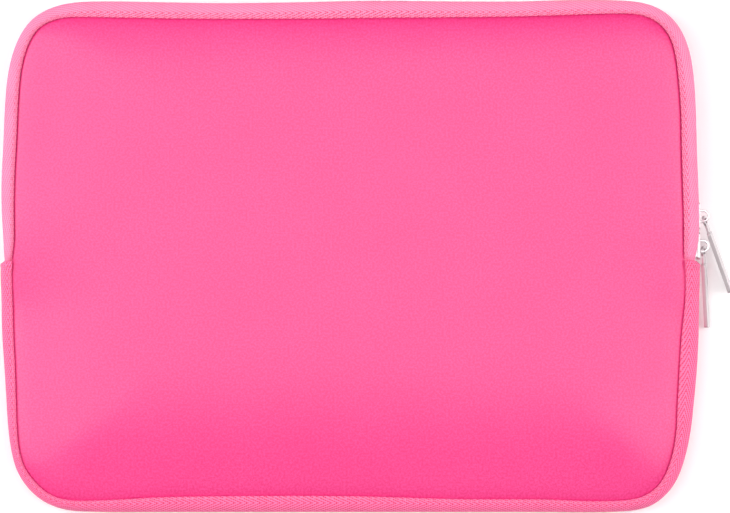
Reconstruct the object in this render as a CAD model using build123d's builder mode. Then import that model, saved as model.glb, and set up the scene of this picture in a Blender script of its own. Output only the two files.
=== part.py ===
from build123d import *
import math
import os

# Padded laptop sleeve, millimetres. The sleeve lies on its back: Z is up out of
# the front face, Y points to the opening edge, X to the sleeve's right.

# Overall size
length = 370.0
width = 270.0
height = 24.0
corner_radius = 44.0
zip_side_step = 1.4  # the zipped half is this much narrower on each side

# Foam panels and lining
foam = 4.0
lining = 0.8
crown_first_inset = 16.0
crown_inset = 34.0
crown_first_share = 0.7
lining_gap = 0.3

# Edge heights
back_edge_low = 1.7
zip_gap = 8.0
zip_end_y = -2.2
fold_y = 34.0

# Bindings
tape = 0.9
binding_leg = 8.2
lower_binding_leg = 9.0
fold_tab_length = 5.5
fold_tab_step = 0.5

# Zip
slit = 1.2
coil_height = 2.0
coil_depth = 2.5
coil_inset = 0.1
zip_tape = 0.8
zip_tape_leg = 10.0
stop_length = 2.2

# Threads
thread_width = 0.6
thread_proud = 0.25
thread_inset = 6.9
lower_thread_inset = 7.6
tab_thread_setback = 1.2

# Sliders
slider_length = 14.3
slider_gap = 1.6
slider_end_gap = 0.65
slider_width = 9.4
slider_nose_width = 7.6
slider_plate = 1.4
slider_clearance = 0.3
flange = 0.8
flange_depth = 2.4
inner_wing = 1.4
inner_wing_width = 5.8
post = 0.7
post_length = 3.4

# Bails
bail_inner_radius = 2.2
bail_wire = 1.3
bail_wire_width = 1.8
bail_leg = 1.8

# Pulls
pull_length = 44.0
pull_width = 4.6
pull_thickness = 2.1
eye_radius = 2.9
eye_thickness = 1.2
eye_hole_long = 2.8
eye_hole_wide = 3.4
bar_start = 6.4
pull_twist = 20.0
pull_droop = 9.0
upper_pull_angle = 20.5
lower_pull_angle = 3.5

# Derived heights
back_edge_top = back_edge_low + foam
front_edge_low = back_edge_top + 2 * tape + zip_gap
front_edge_top = front_edge_low + foam
mid_z = (back_edge_top + front_edge_low) / 2
pinch_top = mid_z + foam
pinch_low = mid_z - foam
zip_low = back_edge_top + tape
zip_high = front_edge_low - tape

# Derived positions
half_length = length / 2
half_width = width / 2
zip_length = length - 2 * zip_side_step
zip_side = zip_length / 2
lower_slider_y = zip_end_y + slider_end_gap + slider_length / 2
upper_slider_y = lower_slider_y + slider_length + slider_gap
plate_inner_x = zip_side + slider_clearance
plate_outer_x = plate_inner_x + slider_plate
bail_x = plate_outer_x + bail_leg
bail_outer_radius = bail_inner_radius + bail_wire
bail_mid_radius = bail_inner_radius + bail_wire / 2
coil_outer_inset = coil_inset + 0.1
web_inset = coil_outer_inset + coil_depth

lower_plan = (length, width, corner_radius)
zip_plan = (zip_length, width, corner_radius)


def inset_plan(plan, inset):
    """The sizes of a rounded outline moved inwards."""
    return (plan[0] - 2 * inset, plan[1] - 2 * inset, plan[2] - inset)


def slab(plan, inset, low, high, mode=Mode.ADD):
    """A rounded slab between two heights."""
    with BuildSketch(Plane.XY.offset(low)) as outline:
        RectangleRounded(*inset_plan(plan, inset))
    extrude(outline.sketch, amount=high - low, mode=mode)


def slope(plan, inset_a, z_a, inset_b, z_b, mode=Mode.ADD):
    """A sloping block between two rounded outlines."""
    with BuildSketch(Plane.XY.offset(z_a)) as first:
        RectangleRounded(*inset_plan(plan, inset_a))
    with BuildSketch(Plane.XY.offset(z_b)) as second:
        RectangleRounded(*inset_plan(plan, inset_b))
    loft([first.sketch.face(), second.sketch.face()], ruled=True, mode=mode)


def crown(plan, edge, leg, top, mode=Mode.ADD):
    """The raised middle of a panel, from its flat border to its crown."""
    first = edge + (top - edge) * crown_first_share
    slope(plan, leg, edge, crown_first_inset, first, mode)
    slope(plan, crown_first_inset, first, crown_inset, top, mode)


def keep_between(low_y, high_y):
    """Keeps only what lies between two lines across the sleeve."""
    with Locations((0, (low_y + high_y) / 2, height / 2)):
        Box(length + 40, high_y - low_y, height * 3, mode=Mode.INTERSECT)


def panel(plan, leg, edge_top, top, middle):
    """A foam panel whose border ends at edge_top and whose middle ends at top."""
    slab(plan, tape, edge_top - foam, edge_top)
    crown(plan, edge_top, leg, top)
    crown(plan, edge_top - foam, leg, top - foam, mode=Mode.SUBTRACT)
    keep_between(middle[0], middle[1])


def turned_panel(plan, leg, edge_low, middle):
    """A foam panel that bulges down, to rest on zero."""
    slab(plan, tape, edge_low, edge_low + foam)
    crown(plan, edge_low, leg, 0)
    crown(plan, edge_low + foam, leg, foam, mode=Mode.SUBTRACT)
    keep_between(middle[0], middle[1])


def lining_sheet(plan, leg, edge, top, way, middle):
    """The lining against the inside of a panel, thick in the direction way."""
    crown(plan, edge, leg + lining_gap, top)
    crown(plan, edge - way * lining, leg + lining_gap, top - way * lining, mode=Mode.SUBTRACT)
    keep_between(middle[0], middle[1])


def ring(plan, outer, inner, low, high, mode=Mode.ADD):
    """A flat ring that follows a rounded outline."""
    with BuildSketch(Plane.XY.offset(low)) as band:
        RectangleRounded(*inset_plan(plan, outer))
        RectangleRounded(*inset_plan(plan, inner), mode=Mode.SUBTRACT)
    extrude(band.sketch, amount=high - low, mode=mode)


def binding(plan, leg, low, high, middle):
    """A folded tape around an edge that lies between low and high."""
    ring(plan, 0, leg, low - tape, high + tape)
    slab(plan, tape, low, high, mode=Mode.SUBTRACT)
    keep_between(middle[0], middle[1])


def zip_strip(web_low, web_high, leg_low, leg_high, middle):
    """A zip tape: an upright web behind the coil and a leg under the binding."""
    ring(zip_plan, web_inset, web_inset + zip_tape, web_low, web_high)
    ring(zip_plan, web_inset, zip_tape_leg, leg_low, leg_high)
    keep_between(middle[0], middle[1])


def coil(low, high, middle):
    """The band filled by one half of the zip chain."""
    ring(zip_plan, coil_outer_inset, web_inset, low, high)
    keep_between(middle[0], middle[1])


def thread(plan, inset, low, high, middle):
    """A line of stitching laid along a binding."""
    ring(plan, inset, inset + thread_width, low, high)
    keep_between(middle[0], middle[1])


def slider_body(y, closed_end):
    """Outer plate, guides, inner wing and post; closed_end is the joined side."""
    half = slider_length / 2
    with BuildSketch(Plane.YZ.offset(plate_inner_x)) as plate:
        with BuildLine():
            Polyline(
                (y - closed_end * half, mid_z - slider_width / 2),
                (y + closed_end * half, mid_z - slider_nose_width / 2),
                (y + closed_end * half, mid_z + slider_nose_width / 2),
                (y - closed_end * half, mid_z + slider_width / 2),
                close=True,
            )
        make_face()
        fillet(plate.vertices(), 1.2)
    extrude(plate.sketch, amount=slider_plate)
    guide_out = coil_half + slider_clearance + flange
    for side in (-1, 1):
        with Locations(
            (
                plate_inner_x - flange_depth / 2,
                y,
                mid_z + side * (guide_out - flange / 2),
            )
        ):
            Box(flange_depth, slider_length * 0.8, flange)
    wing_x = zip_side - web_inset - zip_tape - slider_clearance
    with Locations((wing_x - inner_wing / 2, y, mid_z)):
        Box(inner_wing, slider_length * 0.9, inner_wing_width)
    with Locations(
        (
            (plate_inner_x + wing_x) / 2,
            y - closed_end * (half - post_length),
            mid_z,
        )
    ):
        Box(plate_inner_x - wing_x, post_length, post)


def bail(y):
    """The wire arch that stands on a slider's plate."""
    with BuildSketch(Plane.XY.offset(mid_z - bail_wire_width / 2)) as arch:
        with Locations((bail_x, y)):
            Circle(bail_outer_radius)
        with Locations((bail_x - bail_outer_radius, y)):
            Rectangle(2 * bail_outer_radius, 2 * bail_outer_radius + 2, mode=Mode.SUBTRACT)
        with Locations((bail_x - bail_leg / 2, y)):
            Rectangle(bail_leg, 2 * bail_outer_radius)
        with Locations((bail_x, y)):
            Circle(bail_inner_radius, mode=Mode.SUBTRACT)
        with Locations((bail_x - bail_leg, y)):
            Rectangle(2 * bail_leg, 2 * bail_inner_radius, mode=Mode.SUBTRACT)
    extrude(arch.sketch, amount=bail_wire_width)


def pull_plane(y, angle):
    """A plane in the broad face of a pull, centred on its eye."""
    a = math.radians(angle)
    droop = math.radians(pull_droop)
    twist = math.radians(pull_twist)
    out = Vector(math.sin(a), -math.cos(a), 0)
    along = out * math.cos(droop) - Vector(0, 0, 1) * math.sin(droop)
    across = Vector(math.cos(a), math.sin(a), 0)
    up = along.cross(across)
    normal = across * math.cos(twist) + up * math.sin(twist)
    origin = Vector(bail_x, y, mid_z) + out * bail_mid_radius
    return Plane(origin=origin, x_dir=along, z_dir=normal)


def pull(y, angle):
    """A long pull: a thin eye around the bail and a thicker bar."""
    plane = pull_plane(y, angle)
    bar_end = pull_length - bail_mid_radius
    with BuildSketch(plane) as eye:
        Circle(eye_radius)
        with Locations(((bar_start + 1) / 2, 0)):
            Rectangle(bar_start + 1, pull_width - 0.8)
        with Locations((0, 0)):
            RectangleRounded(eye_hole_long, eye_hole_wide, 1.0, mode=Mode.SUBTRACT)
    extrude(eye.sketch, amount=eye_thickness / 2, both=True)
    with BuildSketch(plane) as bar:
        with Locations(((bar_start + bar_end) / 2, 0)):
            RectangleRounded(bar_end - bar_start, pull_width, 1.5)
    extrude(bar.sketch, amount=pull_thickness / 2, both=True)


coil_half = slit / 2 + coil_height
lower_zone = (-half_width - 10, zip_end_y)
ends_zone = (zip_end_y, fold_y)
flap_zone = (fold_y, half_width + 10)
zip_zone = (zip_end_y, half_width + 10)
coil_start_y = zip_end_y + stop_length

# Foam panels
with BuildPart() as back_panel_zip_half:
    turned_panel(zip_plan, lower_binding_leg, back_edge_low, zip_zone)

with BuildPart() as back_panel:
    turned_panel(lower_plan, lower_binding_leg, pinch_low, lower_zone)
    add(back_panel_zip_half.part)

with BuildPart() as front_panel_zip_end:
    panel(zip_plan, lower_binding_leg, front_edge_top, height, ends_zone)

with BuildPart() as front_panel_body:
    panel(lower_plan, lower_binding_leg, pinch_top, height, lower_zone)
    add(front_panel_zip_end.part)

with BuildPart() as front_panel_flap:
    panel(zip_plan, lower_binding_leg, front_edge_top, height, flap_zone)

# Lining
with BuildPart() as back_lining_zip_half:
    lining_sheet(zip_plan, lower_binding_leg, back_edge_top, foam, -1, zip_zone)

with BuildPart() as back_lining:
    lining_sheet(lower_plan, lower_binding_leg, mid_z, foam, -1, lower_zone)
    add(back_lining_zip_half.part)

with BuildPart() as front_lining_zip_end:
    lining_sheet(zip_plan, lower_binding_leg, front_edge_low, height - foam, 1, ends_zone)

with BuildPart() as front_lining_body:
    lining_sheet(lower_plan, lower_binding_leg, mid_z, height - foam, 1, lower_zone)
    add(front_lining_zip_end.part)

with BuildPart() as front_lining_flap:
    lining_sheet(zip_plan, lower_binding_leg, front_edge_low, height - foam, 1, flap_zone)

# Bindings
with BuildPart() as back_binding:
    binding(zip_plan, binding_leg, back_edge_low, back_edge_top, zip_zone)

with BuildPart() as front_binding_ends:
    binding(zip_plan, binding_leg, front_edge_low, front_edge_top, ends_zone)

with BuildPart() as front_binding_flap:
    binding(zip_plan, binding_leg, front_edge_low, front_edge_top, flap_zone)

with BuildPart() as lower_binding:
    binding(lower_plan, lower_binding_leg, pinch_low, pinch_top, lower_zone)

# The folded ends of the lower binding, one on each side
with BuildPart() as binding_end_tabs:
    ring(
        lower_plan,
        -fold_tab_step,
        lower_binding_leg,
        pinch_low - tape - fold_tab_step,
        pinch_top + tape + fold_tab_step,
    )
    slab(lower_plan, 0, pinch_low - tape, pinch_top + tape, mode=Mode.SUBTRACT)
    keep_between(zip_end_y - fold_tab_length, zip_end_y)

# Zip tapes
with BuildPart() as back_zip_tape:
    zip_strip(zip_low, mid_z - slit / 2, zip_low, zip_low + zip_tape, zip_zone)

with BuildPart() as front_zip_tape_ends:
    zip_strip(mid_z + slit / 2, zip_high, zip_high - zip_tape, zip_high, ends_zone)

with BuildPart() as front_zip_tape_flap:
    zip_strip(mid_z + slit / 2, zip_high, zip_high - zip_tape, zip_high, flap_zone)

# Zip coils
with BuildPart() as back_coil:
    coil(mid_z - coil_half, mid_z - slit / 2, (coil_start_y, half_width + 10))

with BuildPart() as front_coil_ends:
    coil(mid_z + slit / 2, mid_z + coil_half, (coil_start_y, fold_y))

with BuildPart() as front_coil_flap:
    coil(mid_z + slit / 2, mid_z + coil_half, flap_zone)

# Stops that close both ends of the zip
with BuildPart() as zip_end_stops:
    ring(zip_plan, coil_outer_inset, web_inset, mid_z - coil_half, mid_z + coil_half)
    keep_between(zip_end_y, coil_start_y)

# Stitching
with BuildPart() as back_binding_thread:
    low = back_edge_low - tape
    thread(zip_plan, thread_inset, low - thread_proud, low, zip_zone)

with BuildPart() as front_binding_thread_ends:
    high = front_edge_top + tape
    thread(zip_plan, thread_inset, high, high + thread_proud, ends_zone)

with BuildPart() as front_binding_thread_flap:
    high = front_edge_top + tape
    thread(zip_plan, thread_inset, high, high + thread_proud, flap_zone)

with BuildPart() as lower_binding_thread:
    thread_zone = (lower_zone[0], zip_end_y - fold_tab_length)
    high = pinch_top + tape
    low = pinch_low - tape
    ring(lower_plan, lower_thread_inset, lower_thread_inset + thread_width, high, high + thread_proud)
    ring(lower_plan, lower_thread_inset, lower_thread_inset + thread_width, low - thread_proud, low)
    keep_between(thread_zone[0], thread_zone[1])

# A short row of stitches across each folded end
with BuildPart() as end_tab_thread:
    tab_top = pinch_top + tape + fold_tab_step
    tab_y = zip_end_y - fold_tab_length + tab_thread_setback
    for side in (-1, 1):
        with Locations(
            (
                side * (half_length - lower_binding_leg / 2),
                tab_y,
                tab_top + thread_proud / 2,
            )
        ):
            Box(lower_binding_leg - 1.5, thread_width, thread_proud)

# Zip sliders, their bails and their pulls
with BuildPart() as lower_slider_body:
    slider_body(lower_slider_y, -1)

with BuildPart() as lower_slider_bail:
    bail(lower_slider_y)

with BuildPart() as lower_pull:
    pull(lower_slider_y, lower_pull_angle)

with BuildPart() as upper_slider_body:
    slider_body(upper_slider_y, 1)

with BuildPart() as upper_slider_bail:
    bail(upper_slider_y)

with BuildPart() as upper_pull:
    pull(upper_slider_y, upper_pull_angle)

os.makedirs("parts", exist_ok=True)

back_panel.part.label = "back_panel"
export_step(back_panel.part, "parts/back_panel.step")
back_lining.part.label = "back_lining"
export_step(back_lining.part, "parts/back_lining.step")
front_panel_body.part.label = "front_panel_body"
export_step(front_panel_body.part, "parts/front_panel_body.step")
front_lining_body.part.label = "front_lining_body"
export_step(front_lining_body.part, "parts/front_lining_body.step")
front_panel_flap.part.label = "front_panel_flap"
export_step(front_panel_flap.part, "parts/front_panel_flap.step")
front_lining_flap.part.label = "front_lining_flap"
export_step(front_lining_flap.part, "parts/front_lining_flap.step")
back_binding.part.label = "back_binding"
export_step(back_binding.part, "parts/back_binding.step")
front_binding_ends.part.label = "front_binding_ends"
export_step(front_binding_ends.part, "parts/front_binding_ends.step")
front_binding_flap.part.label = "front_binding_flap"
export_step(front_binding_flap.part, "parts/front_binding_flap.step")
lower_binding.part.label = "lower_binding"
export_step(lower_binding.part, "parts/lower_binding.step")
binding_end_tabs.part.label = "binding_end_tabs"
export_step(binding_end_tabs.part, "parts/binding_end_tabs.step")
back_zip_tape.part.label = "back_zip_tape"
export_step(back_zip_tape.part, "parts/back_zip_tape.step")
front_zip_tape_ends.part.label = "front_zip_tape_ends"
export_step(front_zip_tape_ends.part, "parts/front_zip_tape_ends.step")
front_zip_tape_flap.part.label = "front_zip_tape_flap"
export_step(front_zip_tape_flap.part, "parts/front_zip_tape_flap.step")
back_coil.part.label = "back_coil"
export_step(back_coil.part, "parts/back_coil.step")
front_coil_ends.part.label = "front_coil_ends"
export_step(front_coil_ends.part, "parts/front_coil_ends.step")
front_coil_flap.part.label = "front_coil_flap"
export_step(front_coil_flap.part, "parts/front_coil_flap.step")
zip_end_stops.part.label = "zip_end_stops"
export_step(zip_end_stops.part, "parts/zip_end_stops.step")
back_binding_thread.part.label = "back_binding_thread"
export_step(back_binding_thread.part, "parts/back_binding_thread.step")
front_binding_thread_ends.part.label = "front_binding_thread_ends"
export_step(front_binding_thread_ends.part, "parts/front_binding_thread_ends.step")
front_binding_thread_flap.part.label = "front_binding_thread_flap"
export_step(front_binding_thread_flap.part, "parts/front_binding_thread_flap.step")
lower_binding_thread.part.label = "lower_binding_thread"
export_step(lower_binding_thread.part, "parts/lower_binding_thread.step")
end_tab_thread.part.label = "end_tab_thread"
export_step(end_tab_thread.part, "parts/end_tab_thread.step")
lower_slider_body.part.label = "lower_slider_body"
export_step(lower_slider_body.part, "parts/lower_slider_body.step")
lower_slider_bail.part.label = "lower_slider_bail"
export_step(lower_slider_bail.part, "parts/lower_slider_bail.step")
lower_pull.part.label = "lower_pull"
export_step(lower_pull.part, "parts/lower_pull.step")
upper_slider_body.part.label = "upper_slider_body"
export_step(upper_slider_body.part, "parts/upper_slider_body.step")
upper_slider_bail.part.label = "upper_slider_bail"
export_step(upper_slider_bail.part, "parts/upper_slider_bail.step")
upper_pull.part.label = "upper_pull"
export_step(upper_pull.part, "parts/upper_pull.step")
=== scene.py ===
import math

import bmesh
import bpy
import numpy as np
from bpy.props import FloatProperty, FloatVectorProperty, IntProperty, PointerProperty
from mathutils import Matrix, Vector


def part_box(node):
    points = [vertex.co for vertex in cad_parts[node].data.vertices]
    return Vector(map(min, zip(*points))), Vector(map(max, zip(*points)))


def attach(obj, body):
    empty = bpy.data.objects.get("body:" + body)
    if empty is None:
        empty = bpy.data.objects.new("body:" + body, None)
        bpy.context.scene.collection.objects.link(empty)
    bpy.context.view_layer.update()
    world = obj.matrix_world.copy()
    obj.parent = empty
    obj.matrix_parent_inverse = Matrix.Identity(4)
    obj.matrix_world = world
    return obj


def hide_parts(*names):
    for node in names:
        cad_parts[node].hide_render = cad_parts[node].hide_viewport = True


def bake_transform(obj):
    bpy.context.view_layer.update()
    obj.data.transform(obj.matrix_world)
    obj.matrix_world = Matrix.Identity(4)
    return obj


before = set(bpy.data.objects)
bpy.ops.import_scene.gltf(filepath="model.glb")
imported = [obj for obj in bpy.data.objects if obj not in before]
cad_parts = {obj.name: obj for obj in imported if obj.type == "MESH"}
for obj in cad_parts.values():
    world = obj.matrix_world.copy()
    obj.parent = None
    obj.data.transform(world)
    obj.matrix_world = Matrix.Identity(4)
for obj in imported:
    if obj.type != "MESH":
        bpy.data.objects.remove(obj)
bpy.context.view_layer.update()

bl_info = {
    "name": "Laptop sleeve",
    "version": (1, 0, 0),
    "blender": (4, 5, 0),
    "location": "View3D > Sidebar > Sleeve",
    "description": "Makes a padded laptop sleeve with bound edges and a two-slider zip",
    "category": "Add Mesh",
}

MM = 0.001

# ---------------------------------------------------------------- places from the frame, in millimetres


def node_box(node):
    """A node's lowest and highest corners in millimetres."""
    low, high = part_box(node)
    return np.array(low) / MM, np.array(high) / MM


LOWER_LOW, LOWER_HIGH = node_box("lower_binding")
UPPER_LOW, UPPER_HIGH = node_box("front_binding_flap")
TAB_LOW = node_box("binding_end_tabs")[0]
COIL_LOW, COIL_HIGH = node_box("front_coil_flap")
STOP_LOW, STOP_HIGH = node_box("zip_end_stops")
PANEL_HIGH = node_box("front_panel_body")[1]
BACK_LOW = node_box("back_panel")[0]
MIDDLE_Z = (LOWER_LOW[2] + LOWER_HIGH[2]) / 2
CROWN_Z = PANEL_HIGH[2]
BACK_CROWN_Z = 2 * MIDDLE_Z - BACK_LOW[2]
ZIP_END_Y = LOWER_HIGH[1]
HALF_LENGTH = LOWER_HIGH[0]
HALF_WIDTH = UPPER_HIGH[1]
ZIP_HALF_LENGTH = UPPER_HIGH[0]

# The sewn edge of each half, as it lies: x, y, the width of the binding there and
# how far in the padding slopes there. Sides bow a little and no two corners are the same.
ZIP_EDGE = [
    (181.6, -9, 4.4, 46), (182.0, -3, 5.4, 44), (183.2, 2, 6.9, 42), (184.3, 9, 7.9, 40),
    (184.6, 20, 8.2, 36), (184.2, 36, 8.3, 30), (183.4, 56, 8.1, 24), (182.8, 78, 8.0, 22),
    (181.7, 95, 8.2, 19), (179.6, 108, 7.8, 15), (176.0, 118, 7.2, 13), (170.6, 125.8, 6.9, 12),
    (163.6, 131.0, 6.7, 12), (154.5, 134.2, 6.6, 12), (143, 135.3, 7.0, 12), (126, 135.7, 7.8, 12),
    (90, 134.8, 8.0, 13), (53, 134.8, 8.5, 15), (13, 135.2, 9.2, 17), (-26, 134.4, 8.8, 19),
    (-69, 133.9, 8.4, 22), (-101, 134.4, 8.6, 23), (-128, 134.8, 8.5, 24), (-143, 134.5, 8.0, 25),
    (-152, 133.3, 7.2, 27), (-160.5, 130.3, 6.4, 30), (-168.3, 125.2, 5.9, 36),
    (-174, 117.6, 6.0, 44), (-177.7, 109, 6.2, 54), (-180.8, 96, 6.6, 64), (-182.3, 80, 6.9, 72),
    (-183.1, 62, 6.9, 76), (-184.2, 38, 6.8, 76), (-183.9, 20, 6.3, 76), (-183.2, 9, 5.8, 76),
    (-182.9, 2, 4.8, 76), (-182.5, -3, 3.6, 76), (-182.2, -9, 3.2, 76),
]
LOWER_EDGE = [
    (-185.0, -2.2, 6.3, 76), (-185.2, -8, 6.4, 76), (-184.7, -22, 6.2, 76), (-184.4, -40, 6.2, 76),
    (-183.2, -58, 5.9, 74), (-182.2, -74, 5.4, 72), (-181.2, -90, 4.9, 70), (-179.3, -104, 4.4, 68),
    (-176.4, -114, 4.6, 66), (-171.6, -121.6, 5.2, 66), (-165.2, -128, 5.2, 66),
    (-157, -132.5, 5.2, 66), (-148, -134.7, 5.6, 66), (-135, -135.3, 6.2, 66),
    (-100, -135.4, 8.0, 66), (-60, -135.4, 8.6, 66), (0, -135.4, 8.6, 66), (60, -135.4, 7.0, 65),
    (100, -135.4, 6.9, 64), (140, -135.3, 6.0, 58), (151, -134.6, 6.2, 54), (160, -132, 6.5, 50),
    (166.8, -127, 6.5, 46), (171.8, -121, 6.8, 42), (175.4, -113.5, 7.0, 39),
    (178.5, -103, 7.2, 44), (180.5, -93, 7.8, 46), (182.2, -78, 8.8, 48), (183.7, -62, 9.4, 50),
    (184.8, -42, 9.3, 50), (185.1, -24, 7.8, 50), (185.4, -10, 7.8, 48), (185.4, -2.2, 7.8, 46),
]
DRAWN_ZIP_HALF_LENGTH = 183.6
DRAWN_HALF_LENGTH = 185.0
DRAWN_HALF_WIDTH = 135.0

# Where the edge changes from the pinched closed half to the open zipped half.
PINCH_START_Y = -34.0
LOWER_START_Y = -14.0
ZIP_START_Y = 12.0
TAB_ROW_Y = ZIP_END_Y - 3.4
SQUEEZE_START_Y = -12.0
SQUEEZE_END_Y = -1.0

# ---------------------------------------------------------------- settings


class SleeveSizes(bpy.types.PropertyGroup):
    """Sizes of the sleeve's sewn details."""

    foam: FloatProperty(
        name="Foam", description="Thickness of the padded panels",
        default=0.004, unit="LENGTH", subtype="DISTANCE",
    )
    tape: FloatProperty(
        name="Binding tape", description="Thickness of the folded binding tape",
        default=0.0009, unit="LENGTH", subtype="DISTANCE",
    )
    lining: FloatProperty(
        name="Lining", description="Thickness of the lining cloth",
        default=0.0007, unit="LENGTH", subtype="DISTANCE",
    )
    stitch_pitch: FloatProperty(
        name="Stitch pitch", description="Distance between two stitches of the binding",
        default=0.0024, unit="LENGTH", subtype="DISTANCE",
    )
    stitch_radius: FloatProperty(
        name="Stitch radius", description="Radius of the sewing thread",
        default=0.00029, unit="LENGTH", subtype="DISTANCE",
    )
    tooth_pitch: FloatProperty(
        name="Zip pitch", description="Distance between two turns of the zip coil",
        default=0.0016, unit="LENGTH", subtype="DISTANCE",
    )
    metal_round: FloatProperty(
        name="Metal rounding", description="Rounding of the edges of the zip metal",
        default=0.00026, unit="LENGTH", subtype="DISTANCE",
    )
    panel_rings: IntProperty(
        name="Panel rings", description="Rings of faces between a panel's edge and its middle",
        default=34, min=8, max=80,
    )


class SleeveColours(bpy.types.PropertyGroup):
    """Colours of the sleeve's cloth, thread and metal."""

    panel: FloatVectorProperty(
        name="Panel", description="Knit face of the padded panels", subtype="COLOR",
        size=4, min=0, max=1, default=(0.88, 0.02, 0.205, 1),
    )
    panel_light: FloatVectorProperty(
        name="Panel, raised loops", description="Lighter loops of the knit face", subtype="COLOR",
        size=4, min=0, max=1, default=(0.97, 0.066, 0.305, 1),
    )
    # The binding colour is the tape's own pink, lighter than the panel, raised further by a painted
    # highlight for the brightly lit zip-side edges.
    binding: FloatVectorProperty(
        name="Binding", description="Raised ribs of the binding tape", subtype="COLOR",
        size=4, min=0, max=1, default=(1.0, 0.275, 0.485, 1),
    )
    # The lower binding colour is a darker copy of the same tape's pink: painted shade for the less-lit
    # lower edge.
    lower_binding: FloatVectorProperty(
        name="Lower binding", description="Raised ribs of the lower binding tape", subtype="COLOR",
        size=4, min=0, max=1, default=(1.0, 0.195, 0.42, 1),
    )
    binding_dark: FloatVectorProperty(
        name="Binding, gaps", description="Gaps between the ribs of the binding", subtype="COLOR",
        size=4, min=0, max=1, default=(0.85, 0.012, 0.11, 1),
    )
    lining: FloatVectorProperty(
        name="Lining", description="Brushed lining cloth", subtype="COLOR",
        size=4, min=0, max=1, default=(0.85, 0.11, 0.27, 1),
    )
    zip_tape: FloatVectorProperty(
        name="Zip tape", description="Woven tape of the zip", subtype="COLOR",
        size=4, min=0, max=1, default=(0.82, 0.07, 0.22, 1),
    )
    coil: FloatVectorProperty(
        name="Zip coil", description="Nylon coil of the zip", subtype="COLOR",
        size=4, min=0, max=1, default=(0.88, 0.13, 0.31, 1),
    )
    thread: FloatVectorProperty(
        name="Thread", description="Sewing thread", subtype="COLOR",
        size=4, min=0, max=1, default=(1.0, 0.22, 0.42, 1),
    )
    metal: FloatVectorProperty(
        name="Zip metal", description="Plated sliders and pulls", subtype="COLOR",
        size=4, min=0, max=1, default=(0.77, 0.71, 0.73, 1),
    )
    floor: FloatVectorProperty(
        name="Floor", description="Plain floor under the sleeve", subtype="COLOR",
        size=4, min=0, max=1, default=(0.96, 0.96, 0.96, 1),
    )


def sizes():
    """The sizes now set in the scene."""
    return bpy.context.scene.sleeve_sizes


def colours():
    """The colours now set in the scene."""
    return bpy.context.scene.sleeve_colours


# ---------------------------------------------------------------- seam lines


def ramp(value, low, high):
    """A smooth step from 0 at low to 1 at high."""
    t = np.clip((np.asarray(value, float) - low) / (high - low), 0, 1)
    return t * t * (3 - 2 * t)


def scaled(knots, drawn_half_length, half_length):
    """The drawn edge, stretched to the size of the frame."""
    line = np.array(knots, float)
    line[:, 0] *= half_length / drawn_half_length
    line[:, 1] *= HALF_WIDTH / DRAWN_HALF_WIDTH
    return line


def smooth_line(knots, closed=False):
    """A fine smooth line through the knots; every column is carried along."""
    if closed:
        knots = np.vstack([knots[-1:], knots, knots[:2]])
    else:
        knots = np.vstack([2 * knots[0] - knots[1], knots, 2 * knots[-1] - knots[-2]])
    gaps = np.linalg.norm(np.diff(knots[:, :2], axis=0), axis=1)[:, None]
    slopes = np.diff(knots, axis=0) / gaps
    tangents = (slopes[:-1] * gaps[1:] + slopes[1:] * gaps[:-1]) / (gaps[:-1] + gaps[1:])
    pieces = []
    t = np.linspace(0, 1, 24, endpoint=False)[:, None]
    for i in range(1, len(knots) - 2):
        d = gaps[i]
        pieces.append(
            (2 * t**3 - 3 * t**2 + 1) * knots[i]
            + (t**3 - 2 * t**2 + t) * d * tangents[i - 1]
            + (3 * t**2 - 2 * t**3) * knots[i + 1]
            + (t**3 - t**2) * d * tangents[i]
        )
    if not closed:
        pieces.append(knots[-2:-1])
    return np.vstack(pieces)


def spaced(line, step, closed=False):
    """The line with its points the same distance apart, about step."""
    if closed:
        line = np.vstack([line, line[:1]])
    along = np.concatenate([[0], np.cumsum(np.linalg.norm(np.diff(line[:, :2], axis=0), axis=1))])
    count = max(3, int(round(along[-1] / step)))
    places = np.linspace(0, along[-1], count + 1)
    if closed:
        places = places[:-1]
    return np.stack([np.interp(places, along, column) for column in line.T], axis=1)


def eased(values, times, closed=False):
    """Values smoothed along a line."""
    for _ in range(times):
        if closed:
            values = (np.roll(values, 1, 0) + 2 * values + np.roll(values, -1, 0)) / 4
        else:
            middle = (values[:-2] + 2 * values[1:-1] + values[2:]) / 4
            values = np.concatenate([values[:1], middle, values[-1:]])
    return values


def inward(line, closed=False):
    """The direction across the line, towards the middle of the sleeve."""
    if closed:
        run = np.roll(line[:, :2], -1, 0) - np.roll(line[:, :2], 1, 0)
    else:
        run = np.gradient(line[:, :2], axis=0)
    run = eased(run, 6, closed)
    run /= np.linalg.norm(run, axis=1)[:, None]
    return np.stack([-run[:, 1], run[:, 0]], axis=1)


class Seam:
    """A line of sewing round an edge: its points, its directions and what it carries."""

    def __init__(self, knots, step, closed=False):
        line = spaced(smooth_line(knots, closed), 1.0, closed)
        line = eased(line, 20, closed)
        line = spaced(line, step, closed)
        self.at = line[:, :2]
        self.width = line[:, 2]
        self.slope = line[:, 3]
        self.across = inward(line, closed)
        gaps = np.linalg.norm(np.diff(line[:, :2], axis=0), axis=1)
        self.along = np.concatenate([[0], np.cumsum(gaps)])

    def part(self, keep):
        """The same seam with only the points that keep is true for."""
        piece = object.__new__(Seam)
        for name, values in self.__dict__.items():
            setattr(piece, name, values[keep])
        return piece


def zip_knots():
    """The zipped half's edge, from its right end over the top to its left end."""
    return scaled(ZIP_EDGE, DRAWN_ZIP_HALF_LENGTH, ZIP_HALF_LENGTH)


def lower_knots():
    """The closed half's edge, from its left end under the bottom to its right end."""
    return scaled(LOWER_EDGE, DRAWN_HALF_LENGTH, HALF_LENGTH)


def whole_knots():
    """The whole edge of a foam panel, which is a little narrower where the halves meet."""
    upper = zip_knots()
    lower = lower_knots()
    return np.vstack([upper[1:-1], lower[lower[:, 1] < LOWER_START_Y]])


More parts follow.
